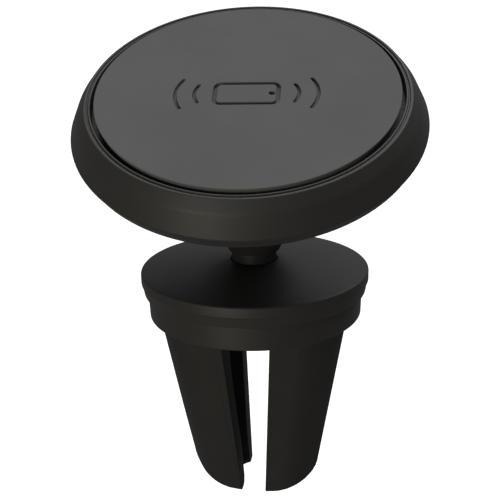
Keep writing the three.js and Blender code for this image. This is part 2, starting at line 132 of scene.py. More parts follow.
class Value:
    """A socket of a finish's node tree, so that shader sums are written as sums."""

    def __init__(self, finish, socket):
        self.finish = finish
        self.socket = socket

    def _with(self, operation, first, second):
        return self.finish.node("ShaderNodeMath", {"operation": operation}, {0: first, 1: second})

    def __add__(self, other):
        return self._with("ADD", self, other)

    def __radd__(self, other):
        return self._with("ADD", other, self)

    def __sub__(self, other):
        return self._with("SUBTRACT", self, other)

    def __rsub__(self, other):
        return self._with("SUBTRACT", other, self)

    def __mul__(self, other):
        return self._with("MULTIPLY", self, other)

    def __rmul__(self, other):
        return self._with("MULTIPLY", other, self)

    def between(self, low, high):
        """0 where this is at low, 1 where it is at high, and smooth between."""
        return self.finish.node(
            "ShaderNodeMapRange",
            {"interpolation_type": "SMOOTHSTEP"},
            {"Value": self, "From Min": low, "From Max": high},
        )


class Finish:
    """A material made of a Principled shader and the nodes that feed it."""

    def __init__(self, name, **constants):
        self.material = bpy.data.materials.new(name)
        self.material.use_nodes = True
        self.tree = self.material.node_tree
        self.tree.nodes.clear()
        self.shader = self.tree.nodes.new("ShaderNodeBsdfPrincipled")
        output = self.tree.nodes.new("ShaderNodeOutputMaterial")
        self.tree.links.new(self.shader.outputs[0], output.inputs["Surface"])
        for socket, value in constants.items():
            self.shader.inputs[socket.replace("_", " ")].default_value = value
        self.place = self.node("ShaderNodeTexCoord", output="Object")

    def node(self, kind, settings=None, inputs=None, output=0):
        made = self.tree.nodes.new(kind)
        for key, value in (settings or {}).items():
            setattr(made, key, value)
        for key, value in (inputs or {}).items():
            self.feed(made.inputs[key], value)
        return Value(self, made.outputs[output])

    def feed(self, socket, value):
        if isinstance(value, Value):
            self.tree.links.new(value.socket, socket)
        else:
            socket.default_value = value

    def noise(self, size_mm, detail=2.0, roughness=0.5, stretch=None):
        """Noise from 0 to 1 whose lumps are about size_mm across."""
        place = self.place
        if stretch:
            place = self.node("ShaderNodeMapping", None, {"Vector": place, "Scale": stretch})
        return self.node(
            "ShaderNodeTexNoise",
            None,
            {"Vector": place, "Scale": 1 / (size_mm * MM), "Detail": detail, "Roughness": roughness},
        )

    def cells(self, size_mm):
        """Distance to the nearest of scattered points about size_mm apart."""
        inputs = {"Vector": self.place, "Scale": 1 / (size_mm * MM)}
        return self.node("ShaderNodeTexVoronoi", None, inputs)

    def blend(self, amount, low, high):
        """A colour between low and high."""
        mixed = self.node("ShaderNodeMix", {"data_type": "RGBA"}, output=2)
        sockets = mixed.socket.node.inputs
        self.feed(sockets[0], amount)
        self.feed(sockets[6], low)
        self.feed(sockets[7], high)
        return mixed

    def bump(self, height, depth_mm, strength):
        """Feeds the shader a normal bumped by height, depth_mm deep at full strength."""
        inputs = {"Height": height, "Distance": depth_mm * MM, "Strength": strength}
        self.feed(self.shader.inputs["Normal"], self.node("ShaderNodeBump", None, inputs))

    def colour(self, value):
        self.feed(self.shader.inputs["Base Color"], value)

    def roughness(self, value):
        self.feed(self.shader.inputs["Roughness"], value)


def grey(level, warm=1.0):
    """An almost neutral colour; warm above 1 leans to red and below 1 to blue."""
    return (level * warm, level, level / warm, 1)


def silicone():
    finish = Finish("matt_silicone", Specular_IOR_Level=0.15)
    cloud = finish.noise(9, 3)
    grain = finish.noise(0.09, 2, 0.6)
    speck = finish.cells(1.7).between(0.05, 0.025)
    lint = speck * finish.noise(4, 1).between(0.5, 0.62)
    tone = finish.blend(cloud.between(0.3, 0.7), grey(0.066, 0.98), grey(0.074, 0.98))
    finish.colour(finish.blend(lint * 0.35, tone, grey(0.2)))
    finish.roughness(0.72 + cloud * 0.1 + grain * 0.12)
    finish.bump(grain, 0.012, 0.6)
    return finish.material


def satin_shell():
    finish = Finish("satin_shell", Specular_IOR_Level=0.16)
    cloud = finish.noise(6, 3)
    pebble = finish.noise(0.16, 2, 0.55)
    rub = finish.noise(1.2, 4, 0.6, (1, 1, 3))
    tone = finish.blend(cloud, grey(0.0165, 1.03), grey(0.0215, 1.03))
    finish.colour(finish.blend(rub.between(0.66, 0.8) * 0.5, tone, grey(0.031, 1.03)))
    finish.roughness(0.4 + cloud * 0.08 + rub * 0.08)
    finish.bump(pebble, 0.006, 0.5)
    return finish.material


def moulded_plastic():
    finish = Finish("moulded_plastic", Specular_IOR_Level=0.25)
    pebble = finish.cells(0.22).between(0.0, 0.6)
    fine = finish.noise(0.1, 2)
    cloud = finish.noise(5, 3)
    finish.colour(finish.blend(cloud, grey(0.011), grey(0.0155)))
    finish.roughness(0.46 + cloud * 0.1 + fine * 0.08)
    finish.bump(pebble * 0.7 + fine * 0.3, 0.02, 0.7)
    return finish.material


def socket_plastic():
    finish = Finish("socket_plastic", Specular_IOR_Level=0.1)
    cloud = finish.noise(3, 3)
    fine = finish.noise(0.12, 2)
    finish.colour(finish.blend(cloud, grey(0.010), grey(0.014)))
    finish.roughness(0.46 + cloud * 0.1 + fine * 0.05)
    finish.bump(fine, 0.006, 0.5)
    return finish.material


def grip_rubber():
    finish = Finish("grip_rubber", Specular_IOR_Level=0.14)
    cloud = finish.noise(5, 3)
    grain = finish.noise(0.13, 3, 0.6)
    flow = finish.noise(1.6, 3, 0.5, (1, 1, 0.25))
    tone = finish.blend(cloud, grey(0.0125, 1.03), grey(0.017, 1.03))
    finish.colour(finish.blend(flow.between(0.6, 0.8) * 0.4, tone, grey(0.023, 1.02)))
    finish.roughness(0.5 + cloud * 0.08 + grain * 0.1)
    finish.bump(grain * 0.8 + flow * 0.2, 0.012, 0.6)
    return finish.material


def nickel_plate():
    finish = Finish("nickel_plate", Metallic=1.0)
    cloud = finish.noise(2.5, 4)
    scratch = finish.noise(0.3, 2, 0.5, (1, 9, 1)).between(0.62, 0.75)
    finish.colour(finish.blend(cloud, grey(0.6, 1.03), grey(0.7, 1.04)))
    finish.roughness(0.12 + cloud * 0.1 + scratch * 0.15)
    finish.bump(scratch, 0.002, 0.5)
    return finish.material


def plated_steel():
    finish = Finish("plated_steel", Metallic=1.0)
    cloud = finish.noise(1.5, 4)
    brushed = finish.noise(0.12, 3, 0.6, (1, 12, 1))
    finish.colour(finish.blend(cloud, grey(0.42, 0.985), grey(0.56, 0.99)))
    finish.roughness(0.25 + cloud * 0.15 + brushed * 0.1)
    finish.bump(brushed, 0.003, 0.5)
    return finish.material


def black_oxide(name, level, rough):
    finish = Finish(name, Metallic=1.0)
    cloud = finish.noise(1.2, 4)
    wear = finish.noise(0.5, 4, 0.65).between(0.6, 0.75)
    tone = finish.blend(cloud, grey(level), grey(level * 1.4))
    finish.colour(finish.blend(wear * 0.4, tone, grey(level * 3)))
    finish.roughness(rough + cloud * 0.12)
    finish.bump(cloud, 0.004, 0.4)
    return finish.material


def natural_nylon():
    finish = Finish("natural_nylon", Subsurface_Weight=0.2, Specular_IOR_Level=0.4)
    cloud = finish.noise(3, 3)
    fine = finish.noise(0.15, 2)
    finish.colour(finish.blend(cloud, (0.5, 0.48, 0.41, 1), (0.6, 0.58, 0.52, 1)))
    finish.roughness(0.42 + cloud * 0.1 + fine * 0.06)
    finish.bump(fine, 0.006, 0.5)
    return finish.material


def foam_adhesive():
    finish = Finish("foam_adhesive", Specular_IOR_Level=0.2)
    pores = finish.cells(0.18).between(0.1, 0.5)
    finish.colour(finish.blend(pores, (0.4, 0.39, 0.36, 1), (0.66, 0.65, 0.61, 1)))
    finish.roughness(0.8 + pores * 0.1)
    finish.bump(pores, 0.03, 0.6)
    return finish.material


MATERIALS = {
    "silicone_pad": silicone(),
    "adhesive_sheet": foam_adhesive(),
    "satin_shell": satin_shell(),
    "black_plastic": moulded_plastic(),
    "nickel_plate": nickel_plate(),
    "plated_steel": plated_steel(),
    "black_screw": black_oxide("screw_oxide", 0.035, 0.32),
    "blackened_steel": black_oxide("stud_oxide", 0.03, 0.2),
    "socket_black": socket_plastic(),
    "nylon": natural_nylon(),
    "grip_rubber": grip_rubber(),
}



# ---- Shaping tools ----

def rounded(body, geometry, size, steps=3, affect="EDGES"):
    """Rounds edges, or the corners of an outline, by size."""
    bmesh.ops.bevel(
        body, geom=geometry, offset=size, offset_type="OFFSET", segments=steps,
        profile=0.5, affect=affect, material=-1,
    )


def tidy(body):
    bmesh.ops.remove_doubles(body, verts=body.verts, dist=TINY)
    bmesh.ops.dissolve_degenerate(body, edges=body.edges, dist=TINY / 10)
    bmesh.ops.recalc_face_normals(body, faces=body.faces)


def spun(corners, closed=True, facets=FACETS):
    """A turned body: an outline of (radius, level, rounding) corners, spun a full turn about Z.

    A corner's rounding is the length it takes from each side of the corner. An outline that
    isn't closed begins and ends on the axis.
    """
    body = bmesh.new()
    verts = [body.verts.new((corner[0], 0, corner[1])) for corner in corners]
    for pair in zip(verts, verts[1:]):
        body.edges.new(pair)
    if closed:
        body.edges.new((verts[-1], verts[0]))
    for vert, corner in zip(verts, corners):
        if len(corner) > 2:
            rounded(body, [vert], corner[2], 3 if corner[2] < SMALL_ROUNDING else 8, "VERTICES")
    bmesh.ops.spin(
        body, geom=[*body.verts, *body.edges], cent=(0, 0, 0), axis=(0, 0, 1),
        angle=FULL_TURN, steps=facets, use_merge=True,
    )
    tidy(body)
    return body


def drum(radius, low, high, at=(0, 0, 0), foot_radius=None, facets=SMALL_FACETS, edge=None):
    """A cylinder or cone between two levels, with its rims rounded by edge."""
    body = bmesh.new()
    bmesh.ops.create_cone(
        body, cap_ends=True, segments=facets, radius1=foot_radius or radius, radius2=radius,
        depth=high - low, matrix=Matrix.Translation((at[0], at[1], (low + high) / 2)),
    )
    if edge:
        rims = [e for e in body.edges if abs(e.verts[0].co.z - e.verts[1].co.z) < TINY]
        rounded(body, rims, edge, 4)
    return body


def block(low, high):
    """A box between two corners."""
    body = bmesh.new()
    low, high = Vector(low), Vector(high)
    size = Matrix.Diagonal((*(high - low), 1))
    bmesh.ops.create_cube(body, size=1, matrix=Matrix.Translation((low + high) / 2) @ size)
    return body


def thickened(body, step):
    """Turns the flat faces of a body into a solid by drawing them out along step."""
    made = bmesh.ops.extrude_face_region(body, geom=body.faces[:])["geom"]
    moved = [part for part in made if isinstance(part, bmesh.types.BMVert)]
    bmesh.ops.translate(body, verts=moved, vec=step)
    bmesh.ops.recalc_face_normals(body, faces=body.faces)
    return body


def trim(body, point, out):
    """Cuts away what lies past a plane and closes the cut."""
    made = bmesh.ops.bisect_plane(
        body, geom=[*body.verts, *body.edges, *body.faces], dist=TINY,
        plane_co=point, plane_no=out, clear_outer=True,
    )
    edges = [part for part in made["geom_cut"] if isinstance(part, bmesh.types.BMEdge)]
    bmesh.ops.edgenet_fill(body, edges=edges)
    tidy(body)


def new_object(body, name):
    mesh = bpy.data.meshes.new(name)
    body.to_mesh(mesh)
    body.free()
    made = bpy.data.objects.new(name, mesh)
    bpy.context.scene.collection.objects.link(made)
    return made


def combined(body, others, operation):
    """The body with each other shape cut out of it (DIFFERENCE) or joined to it (UNION)."""
    work = new_object(body, "work")
    helpers = [new_object(other, "helper") for other in others]
    for helper in helpers:
        step = work.modifiers.new("step", "BOOLEAN")
        step.object = helper
        step.operation = operation
        step.solver = "EXACT"
    seen = work.evaluated_get(bpy.context.evaluated_depsgraph_get())
    result = bmesh.new()
    result.from_mesh(seen.to_mesh())
    seen.to_mesh_clear()
    for used in [work, *helpers]:
        bpy.data.meshes.remove(used.data)
    bmesh.ops.remove_doubles(result, verts=result.verts, dist=TINY)
    return result


def piece(body, name, rides, slot, stands_for, place=BASE):
    """A finished piece: its mesh in metres and in place, its body, slot, finish and CAD nodes."""
    body.transform(Matrix.Scale(MM, 4) @ place)
    made = new_object(body, name)
    made.data.shade_smooth()
    made.data.set_sharp_from_angle(angle=SHARP_ANGLE)
    made.data.materials.append(MATERIALS[slot])
    made.modifiers.new("even_shading", "WEIGHTED_NORMAL").keep_sharp = True
    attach(made, rides)
    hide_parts(*stands_for)
    return made


# ---- Head ----

PAD_BACK, PAD_FRONT, PAD_RADIUS = span("face_pad", HEAD)
SHELL_BACK, _, SHELL_RADIUS = span("head_shell", HEAD)
COVER_BACK, _, COVER_RADIUS = span("back_cover", HEAD)
TRAY_BACK, TRAY_FRONT, TRAY_RADIUS = span("magnet_tray", HEAD)
YOKE_BACK, YOKE_FRONT, YOKE_RADIUS = span("yoke_plate", HEAD)
SHEET_BACK, SHEET_FRONT, SHEET_RADIUS = span("pad_adhesive", HEAD)
MAGNETS = [f"magnet_{i + 1}" for i in range(6)]
COVER_SCREWS = [f"cover_screw_{i + 1}" for i in range(3)]
MAGNET_RADIUS = 4.0
POCKET_RADIUS = 4.13
BOSS_RADIUS = 1.7
WELL_RADIUS = 1.7
SCREW_HOLE_RADIUS = 1.0
SCREW_RADIUS = 0.8
SCREW_HEAD_RADIUS = 1.5
SCREW_HEAD_HEIGHT = 0.8
CROSS_DEPTH = 0.45
TOOL_MARGIN = 1

# The pressed-in mark: a phone lying on its side with two waves at each end.
MARK_DEPTH = 0.38
MARK_SHIFT = -0.85
GROOVE = 0.5
GROOVE_FOOT = 0.42
PHONE_LENGTH = 7.4
PHONE_HEIGHT = 4.2
PHONE_CORNER = 0.95
BUTTON_RADIUS = 0.36
BUTTON_PLACE = 2.75
WAVE_CENTRE = 2.5
WAVE_RADII = (3.2, 5.3)
WAVE_SPREAD = math.radians(30)


def wave_tools(side, radius):
    """Tools for one arc-shaped groove beside the phone, with a round tool at each end."""
    foot = PAD_FRONT - MARK_DEPTH
    top = PAD_FRONT + TOOL_MARGIN
    body = bmesh.new()
    section = [(-GROOVE_FOOT, foot), (GROOVE_FOOT, foot), (GROOVE, top), (-GROOVE, top)]
    body.faces.new([body.verts.new((radius + across / 2, 0, level)) for across, level in section])
    start = Matrix.Rotation((0 if side > 0 else math.pi) - WAVE_SPREAD, 3, "Z")
    bmesh.ops.rotate(body, verts=body.verts, cent=(0, 0, 0), matrix=start)
    bmesh.ops.spin(
        body, geom=[*body.verts, *body.edges, *body.faces], cent=(0, 0, 0), axis=(0, 0, 1),
        angle=2 * WAVE_SPREAD, steps=20,
    )
    bmesh.ops.recalc_face_normals(body, faces=body.faces)
    tools = [body]
    for end in (-1, 1):
        at = start @ Matrix.Rotation(WAVE_SPREAD * (1 + end), 3, "Z") @ Vector((radius, 0, 0))
        tools.append(drum(GROOVE / 2, foot, top, at, GROOVE_FOOT / 2, 24))
    for tool in tools:
        tool.transform(Matrix.Translation((side * WAVE_CENTRE, MARK_SHIFT, 0)))
    return tools


def phone_tool():
    """A tool for the groove round the phone, made by insetting a rectangle with round corners."""
    body = bmesh.new()
    size = Matrix.Diagonal((PHONE_LENGTH, PHONE_HEIGHT, 1, 1))
    place = Matrix.Translation((0, MARK_SHIFT, PAD_FRONT - MARK_DEPTH))
    bmesh.ops.create_grid(body, x_segments=1, y_segments=1, size=0.5, matrix=place @ size)
    rounded(body, body.verts[:], PHONE_CORNER, 8, "VERTICES")
    inside = body.faces[:]
    bmesh.ops.inset_region(body, faces=inside, thickness=GROOVE, use_boundary=True, use_even_offset=True)
    bmesh.ops.delete(body, geom=inside, context="FACES_ONLY")
    return thickened(body, (0, 0, MARK_DEPTH + TOOL_MARGIN))


def silicone_face():
    """The pad: a disc with a soft edge and a slightly undercut side, with the mark in its face."""
    soft = 0.12
    undercut = 0.4
    tools = [phone_tool()]
    for side in (-1, 1):
        for radius in WAVE_RADII:
            tools += wave_tools(side, radius)
    button = (BUTTON_PLACE, MARK_SHIFT, 0)
    mark_floor = PAD_FRONT - MARK_DEPTH
    tools.append(drum(BUTTON_RADIUS, mark_floor, PAD_FRONT + TOOL_MARGIN, button, facets=32))
    blank = drum(PAD_RADIUS, PAD_BACK, PAD_FRONT, (0, 0), PAD_RADIUS - undercut, FACETS, soft)
    body = combined(blank, tools, "DIFFERENCE")
    piece(body, "silicone_face", "head", "silicone_pad", ["face_pad"], HEAD)


def adhesive_sheet():
    body = drum(SHEET_RADIUS, SHEET_BACK, SHEET_FRONT, facets=FACETS, edge=0.05)
    piece(body, "adhesive_sheet", "head", "adhesive_sheet", ["pad_adhesive"], HEAD)


def bevelled_shell():
    """The head's shell: lip with a fine groove, bevel, flared wall, and the pad's recess."""
    front = PAD_FRONT
    lip = front - 0.28
    groove_floor = front - 0.44
    floor = SHEET_BACK - 0.13
    under = floor - 0.7
    body = spun([
        (0, under),
        (18, under, 0.3),
        (18.45, SHELL_BACK, 0.12),
        (19.2, SHELL_BACK, 0.15),
        (19.58, front - 4.6, 0.12),
        (SHELL_RADIUS, front - 4.0, 0.22),
        (18.85, front - 1.5, 0.22),
        (17.92, lip, 0.07),
        (17.66, lip, 0.04),
        (17.6, groove_floor, 0.03),
        (17.46, groove_floor, 0.03),
        (17.4, lip, 0.04),
        (17.2, lip, 0.07),
        (17.2, floor),
        (0, floor),
    ], False)
    bosses = []
    boss_root = under + 0.3
    boss_foot = SHELL_BACK - 0.2
    for node in COVER_SCREWS:
        boss = spun([
            (SCREW_HOLE_RADIUS, boss_root),
            (SCREW_HOLE_RADIUS, boss_foot, 0.1),
            (BOSS_RADIUS, boss_foot, 0.1),
            (BOSS_RADIUS, boss_root),
        ], True, 32)
        at = centre(node, HEAD)
        boss.transform(Matrix.Translation((at.x, at.y, 0)))
        bosses.append(boss)
    body = combined(body, bosses, "UNION")
    piece(body, "bevelled_shell", "head", "satin_shell", ["head_shell"], HEAD)


def magnet_carrier():
    """The tray: a disc with a pocket for each magnet, a bore for the stud and gaps for the bosses."""
    bore = 4.2
    blank = spun([
        (bore, TRAY_BACK, 0.15),
        (TRAY_RADIUS, TRAY_BACK, 0.2),
        (TRAY_RADIUS, TRAY_FRONT, 0.2),
        (bore, TRAY_FRONT, 0.15),
    ])
    holes = [(centre(node, HEAD), POCKET_RADIUS) for node in MAGNETS]
    holes += [(centre(node, HEAD), BOSS_RADIUS + 0.3) for node in COVER_SCREWS]
    low, high = TRAY_BACK - TOOL_MARGIN, TRAY_FRONT + TOOL_MARGIN
    tools = [drum(radius, low, high, at) for at, radius in holes]
    body = combined(blank, tools, "DIFFERENCE")
    piece(body, "magnet_carrier", "head", "black_plastic", ["magnet_tray"], HEAD)


def magnets():
    for node in MAGNETS:
        low, high, _ = span(node, HEAD)
        body = drum(MAGNET_RADIUS, low, high, centre(node, HEAD), edge=0.2)
        piece(body, node.replace("magnet", "disc_magnet"), "head", "nickel_plate", [node], HEAD)


def steel_yoke():
    """The plate behind the magnets, with a bore for the stud and a hole round each boss."""
    bore = 1.8
    boss_hole = 2.5
    blank = spun([
        (bore, YOKE_BACK, 0.08),
        (YOKE_RADIUS, YOKE_BACK, 0.12),
        (YOKE_RADIUS, YOKE_FRONT, 0.12),
        (bore, YOKE_FRONT, 0.08),
    ])
    low, high = YOKE_BACK - TOOL_MARGIN, YOKE_FRONT + TOOL_MARGIN
    tools = [drum(boss_hole, low, high, centre(node, HEAD)) for node in COVER_SCREWS]
    body = combined(blank, tools, "DIFFERENCE")
    piece(body, "steel_yoke", "head", "plated_steel", ["yoke_plate"], HEAD)


def rear_cover():
    """The dished cover behind the head, with a ring-shaped groove and a well for each screw."""
    hole = 2.5
    inside = COVER_BACK + 1.15
    rim = SHELL_BACK - 0.15
    groove = COVER_BACK + 0.22
    blank = spun([
        (hole, COVER_BACK, 0.3),
        (6.3, COVER_BACK, 0.05),
        (6.45, groove, 0.05),
        (6.95, groove, 0.05),
        (7.1, COVER_BACK, 0.05),
        (9.5, COVER_BACK, 0.3),
        (14.6, COVER_BACK + 0.42, 0.6),
        (17.4, COVER_BACK + 1.62, 0.4),
        (COVER_RADIUS, rim - 0.35, 0.15),
        (COVER_RADIUS, rim, 0.08),
        (17.1, rim, 0.08),
        (16.4, YOKE_BACK - 0.1, 0.15),
        (13.5, inside, 0.15),
        (hole, inside, 0.2),
    ])
    tools = []
    low = COVER_BACK - 2 * TOOL_MARGIN
    for node in COVER_SCREWS:
        at = centre(node, HEAD)
        seat = span(node, HEAD)[0] + SCREW_HEAD_HEIGHT + 0.1
        tools.append(drum(WELL_RADIUS, low, seat, at))
        tools.append(drum(SCREW_HOLE_RADIUS, low, rim + TOOL_MARGIN, at))
    body = combined(blank, tools, "DIFFERENCE")
    piece(body, "rear_cover", "head", "black_plastic", ["back_cover"], HEAD)


def cover_screws():
    """Small screws: a rounded head with a cross recess, and a threaded shank."""
    reach = 0.85
    half_arm = 0.18
    for node in COVER_SCREWS:
        low, high, _ = span(node, HEAD)
        seat = low + SCREW_HEAD_HEIGHT
        body = spun([
            (0, low),
            (SCREW_HEAD_RADIUS, low, 0.25),
            (SCREW_HEAD_RADIUS, seat, 0.05),
            (SCREW_RADIUS, seat),
            *threaded(seat + 0.2, high - 0.5, SCREW_RADIUS, 0.4),
            (0.25, high),
            (0, high),
        ], False, 48)
        outside, floor = low - TOOL_MARGIN, low + CROSS_DEPTH
        arms = [
            block((-reach, -half_arm, outside), (reach, half_arm, floor)),
            block((-half_arm, -reach, outside), (half_arm, reach, floor)),
        ]
        body = combined(body, arms, "DIFFERENCE")
        body.transform(Matrix.Translation(centre(node, HEAD) * Vector((1, 1, 0))))
        piece(body, node.replace("cover_screw", "cross_screw"), "head", "black_screw", [node], HEAD)


# ---- Ball stud and its hardware ----

BALL_FOOT, SHANK_TIP, _ = span("ball_stud", HEAD)
BALL_RADIUS = -BALL_FOOT
SHOULDER_RADIUS = 3.8
NECK_RADIUS = 2.2
THREAD_RADIUS = 1.5


def threaded(low, high, radius, pitch=0.5, depth=0.18):
    """The outline of a threaded stretch, as roots and crests from low to high."""
    points = []
    turns = int((high - low) / pitch)
    for turn in range(turns):
        level = low + turn * pitch
        points.append((radius - depth, level + 0.05))
        points += [(radius, level + pitch * 0.4), (radius, level + pitch * 0.6)]
    points.append((radius - depth, low + turns * pitch))
    return points


def ball(radius, middle=0.0):
    """A ball whose middle is at a level on the Z axis."""
    body = bmesh.new()
    place = Matrix.Translation((0, 0, middle))
    bmesh.ops.create_uvsphere(body, u_segments=96, v_segments=64, radius=radius, matrix=place)
    return body


def ball_and_shank():
    """The ball on its neck, the shoulder that the head rests on, and the threaded end."""
    shoulder_back = COVER_BACK + 1.25
    shoulder_front = YOKE_BACK - 0.15
    shank = spun([
        (0, 1),
        (NECK_RADIUS, 1),
        (NECK_RADIUS, shoulder_back, 0.15),
        (SHOULDER_RADIUS, shoulder_back, 0.1),
        (SHOULDER_RADIUS, shoulder_front, 0.15),
        (THREAD_RADIUS, shoulder_front, 0.05),
        *threaded(shoulder_front + 0.3, SHANK_TIP - 0.3, THREAD_RADIUS),
        (THREAD_RADIUS - 0.35, SHANK_TIP, 0.05),
        (0, SHANK_TIP),
    ], False, 96)
    body = combined(ball(BALL_RADIUS), [shank], "UNION")
    piece(body, "ball_and_shank", "stud", "blackened_steel", ["ball_stud"], HEAD)


def washer(node, name, rides, place, hole):
    low, high, radius = span(node, place)
    corners = [(hole, low, 0.04), (radius, low, 0.08), (radius, high, 0.08), (hole, high, 0.04)]
    body = spun(corners, True, 72)
    piece(body, name, rides, "plated_steel", [node], place)


def hex_nut():
    """A nut with chamfered corners, made as a bored round blank trimmed to six flats."""
    low, high, corner = span("stud_nut", HEAD)
    bore = 1.55
    mouth = 1.7
    face = corner * 0.86
    blank = spun([
        (bore, low + 0.15),
        (mouth, low),
        (face, low, 0.05),
        (corner, low + 0.3, 0.02),
        (corner, high - 0.3, 0.02),
        (face, high, 0.05),
        (mouth, high),
        (bore, high - 0.15),
    ])
    flat = corner * math.cos(math.pi / 6)
    for side in range(6):
        out = Matrix.Rotation(math.pi / 6 * (2 * side + 1), 3, "Z") @ Vector((1, 0, 0))
        trim(blank, out * flat, out)
    piece(blank, "hex_nut", "stud", "plated_steel", ["stud_nut"], HEAD)


# ---- Socket ----

CUP_LOW, CUP_TOP, CUP_RADIUS = span("socket_cup")
NUT_LOW, NUT_TOP, NUT_RADIUS = span("socket_nut")
LINER_LOW, LINER_TOP, LINER_RADIUS = span("socket_liner")
PRELOAD_LOW, PRELOAD_TOP, PRELOAD_RADIUS = span("preload_pad")
COLLAR_LOW, COLLAR_TOP, COLLAR_RADIUS = span("collar_ring")
FLANGE_LOW, FLANGE_TOP, FLANGE_RADIUS = span("base_flange")
RIM = FLANGE_TOP - FLANGE_CROWN
STEM_RADIUS = 2.7
STEM_HOLE = STEM_RADIUS + 0.15
SCREW_BORE = 1.7
CUP_THREAD_RADIUS = 5.15
CUP_BORE = 4.67
NUT_BORE = 5.27
LINER_PLAY = 0.12


def flared_socket():
    """The stem and the cup that flares out of it over a small step, bored for the stem screw."""
    shoulder = NUT_LOW - 0.1
    body = spun([
        (0, RIM + 3),
        (SCREW_BORE, RIM + 3, 0.1),
        (SCREW_BORE, CUP_LOW, 0.15),
        (STEM_RADIUS, CUP_LOW, 0.2),
        (STEM_RADIUS, RIM + 2.2, 0.04),
        (3.05, RIM + 2.25, 0.03),
        (3.12, RIM + 2.4, 0.04),
        (3.75, RIM + 3.5, 0.5),
        (4.9, RIM + 4.9, 0.8),
        (CUP_RADIUS, RIM + 7, 0.8),
        (CUP_RADIUS, shoulder, 0.15),
        (CUP_THREAD_RADIUS, shoulder, 0.05),
        *threaded(shoulder + 0.25, CUP_TOP - 0.2, CUP_THREAD_RADIUS, 0.6, 0.1),
        (5.0, CUP_TOP, 0.03),
        (CUP_BORE, CUP_TOP, 0.1),
        (CUP_BORE, RIM + 9.25, 0.4),
        (3.3, RIM + 7.7, 0.4),
        (3, RIM + 6, 0.3),
        (0, RIM + 6),
    ], False, 120)
    piece(body, "flared_socket", "base", "socket_black", ["socket_cup"])


def grip_nut():
    """The nut that holds the ball in, with finger notches round its wall."""
    facets = 96
    body = spun([
        (NUT_BORE, NUT_LOW, 0.1),
        (NUT_RADIUS, NUT_LOW, 0.15),
        (NUT_RADIUS, NUT_LOW + 0.55),
        (NUT_RADIUS, NUT_TOP - 0.75),
        (NUT_RADIUS, NUT_TOP, 0.3),
        (3.9, NUT_TOP, 0.08),
        (4.08, NUT_TOP - 0.6, 0.05),
        (NUT_BORE, NUT_TOP - 0.6, 0.1),
    ], True, facets)
    wall = [f for f in body.faces if abs(f.normal.z) < 0.01 and wall_radius(f) > NUT_RADIUS - 0.05]
    notches = [f for f in wall if f.calc_area() > 0.4 and facet_number(f, facets) % 4 < 2]
    bmesh.ops.inset_region(body, faces=notches, thickness=0.08, depth=-0.14, use_even_offset=True)
    bmesh.ops.recalc_face_normals(body, faces=body.faces)
    piece(body, "grip_nut", "base", "socket_black", ["socket_nut"])


def wall_radius(face):
    mid = face.calc_center_median()
    return math.hypot(mid.x, mid.y)


def facet_number(face, facets):
    """Which facet of a spun body a face belongs to, counted round from the X axis."""
    mid = face.calc_center_median()
    return round(math.atan2(mid.y, mid.x) / FULL_TURN * facets - 0.5)


def ball_seat():
    """The liner: a short tapered sleeve hollowed out by a ball a little larger than the stud's."""
    middle = BALL_CENTRE.z
    blank = spun([
        (0, LINER_LOW),
        (3.25, LINER_LOW, 0.05),
        (LINER_RADIUS, middle - 1.55, 0.3),
        (LINER_RADIUS, LINER_TOP, 0.08),
        (0, LINER_TOP),
    ], False, 96)
    body = combined(blank, [ball(BALL_RADIUS + LINER_PLAY, middle)], "DIFFERENCE")
    piece(body, "ball_seat", "liner", "nylon", ["socket_liner"])


def preload_disc():
    body = drum(PRELOAD_RADIUS, PRELOAD_LOW, PRELOAD_TOP, edge=0.15)
    piece(body, "preload_disc", "base", "grip_rubber", ["preload_pad"])


# ---- Base ----

HUB_LOW, HUB_TOP, HUB_RADIUS = span("clip_hub")
ARMS = [f"spring_arm_{number}" for number in range(1, 5)]


def crowned_flange():
    """The round plate over the clip: crowned top, upright band and a slightly drawn-in foot."""
    bore = 12.35
    ceiling = RIM - 1.3
    body = spun([
        (STEM_HOLE, ceiling, 0.1),
        (bore, ceiling, 0.2),
        (bore, FLANGE_LOW, 0.1),
        (13.5, FLANGE_LOW, 0.08),
        (FLANGE_RADIUS - 0.12, RIM - 1.36, 0.05),
        (FLANGE_RADIUS, RIM - 1.27, 0.05),
        (FLANGE_RADIUS, RIM, 0.26),
        (9, RIM + 0.45, 1.8),
        (5, RIM + 0.85, 1),
        (STEM_HOLE, FLANGE_TOP, 0.1),
    ])
    piece(body, "crowned_flange", "base", "satin_shell", ["base_flange"])


def collar_band():
    """The ring under the flange, a little narrower at its foot."""
    bore = 12.2
    body = spun([
        (bore, COLLAR_LOW, 0.12),
        (COLLAR_RADIUS - 0.1, COLLAR_LOW, 0.12),
        (COLLAR_RADIUS, COLLAR_TOP, 0.1),
        (bore, COLLAR_TOP, 0.1),
    ])
    piece(body, "collar_band", "base", "satin_shell", ["collar_ring"])


def arm_turn(node):
    """The direction in which a spring arm lies from the clip's axis."""
    middle = centre(node)
    return math.atan2(middle.y, middle.x)


